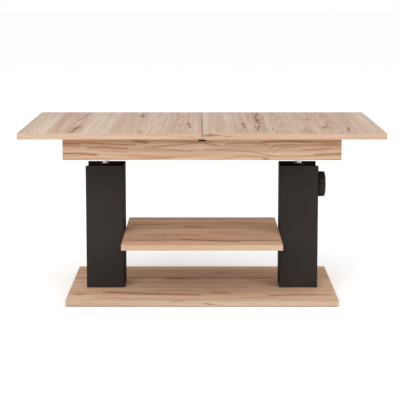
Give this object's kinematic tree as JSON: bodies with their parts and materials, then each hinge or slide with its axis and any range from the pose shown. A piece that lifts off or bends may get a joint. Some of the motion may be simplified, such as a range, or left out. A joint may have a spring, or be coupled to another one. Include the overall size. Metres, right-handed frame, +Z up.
{
  "type": "lift top coffee table",
  "caption": "Coffee table with an oak-decor top that rises level on two lift columns and slides apart in halves over a leaf box, with a shelf, a base panel and a clamp knob.",
  "frame": {"origin": "on the floor, under the middle of the closed top", "axes": "+X to the right along the table's length, +Y to the rear, +Z up"},
  "size_m": [1.1, 0.7, 0.544],
  "materials": {
    "board_top": "satin oak-decor board",
    "board_apron": "satin oak-decor board",
    "board_base": "satin oak-decor board",
    "board_inner": "plain board",
    "raw_wood": "unfinished wood",
    "column_paint": "fine-textured matte powder coat",
    "black_steel": "semi-gloss black",
    "bright_steel": "bright plated",
    "zinc": "zinc plated",
    "chrome": "polished",
    "aluminium": "mill finish",
    "black_plastic": "matte",
    "cap_plastic": "fine-textured",
    "white_plastic": "matte acetal",
    "knob_plastic": "moulded, fine grain",
    "rubber": "matte",
    "glide": "matte",
    "felt": "felt"
  },
  "bodies": {
    "base": {"base_glides": "glide", "base_panel": "board_base", "base_flange_left": "black_steel", "base_flange_right": "black_steel", "base_screws": "zinc", "column_cover_left": "column_paint", "column_cover_right": "column_paint", "column_cap_left": "cap_plastic", "column_cap_right": "cap_plastic", "guide_tube_left": "black_steel", "guide_tube_right": "black_steel", "guide_bush_left": "black_plastic", "guide_bush_right": "black_plastic", "piston_rod_left": "chrome", "piston_rod_right": "chrome", "shelf_panel": "board_base", "shelf_brackets": "black_steel", "shelf_screws": "zinc", "clamp_bush": "black_steel"},
    "pad": {"clamp_pad": "rubber"},
    "knob": {"clamp_stud": "zinc", "clamp_knob": "knob_plastic"},
    "lift_frame": {"lift_tube_left": "bright_steel", "lift_tube_right": "bright_steel", "foot_bush_left": "white_plastic", "foot_bush_right": "white_plastic", "head_plate_left": "black_steel", "head_plate_right": "black_steel", "head_screws": "zinc", "box_bottom": "board_inner", "apron_front": "board_apron", "apron_rear": "board_apron", "apron_left": "board_apron", "apron_right": "board_apron", "corner_blocks": "raw_wood", "centre_stops": "black_plastic", "fixed_runner_front": "aluminium", "fixed_runner_rear": "aluminium", "runner_screws": "zinc", "pinion_post": "zinc", "leaf_rests": "felt", "leaf_panel_lower": "board_top", "leaf_panel_upper": "board_top", "leaf_hinges_lower": "zinc", "leaf_hinges_upper": "zinc", "leaf_hinge_pins": "zinc"},
    "left_half": {"top_half_left": "board_top", "sliding_runners_left": "aluminium", "rack_left": "white_plastic", "top_dowels": "raw_wood"},
    "right_half": {"top_half_right": "board_top", "sliding_runners_right": "aluminium", "rack_right": "white_plastic"},
    "pinion": {"sync_pinion": "white_plastic"}
  },
  "joints": [
    {"name": "lift", "type": "slide", "parent": "base", "child": "lift_frame", "axis": [0, 0, 1], "range_m": [0, 0.2]},
    {"name": "clamp_travel", "type": "slide", "parent": "base", "child": "pad", "axis": [1, 0, 0], "range_m": [0, 0.0025]},
    {"name": "clamp_turn", "type": "hinge", "parent": "pad", "child": "knob", "pos_m": [0.371, -0.016, 0.347], "axis": [1, 0, 0], "range_deg": [0, 514.3]},
    {"name": "right_half_slide", "type": "slide", "parent": "lift_frame", "child": "right_half", "axis": [1, 0, 0], "range_m": [0, 0.2]},
    {"name": "left_half_slide", "type": "slide", "parent": "lift_frame", "child": "left_half", "axis": [-1, 0, 0], "range_m": [0, 0.2]},
    {"name": "pinion_spin", "type": "hinge", "parent": "lift_frame", "child": "pinion", "pos_m": [0, 0.15, 0.511], "axis": [0, 0, 1], "range_deg": [0, 573]}
  ],
  "couplings": [
    {"joint": "clamp_turn", "follows": "clamp_travel", "rad_per_m": 3590.4},
    {"joint": "left_half_slide", "follows": "right_half_slide", "ratio": 1},
    {"joint": "pinion_spin", "follows": "right_half_slide", "rad_per_m": 50}
  ]
}
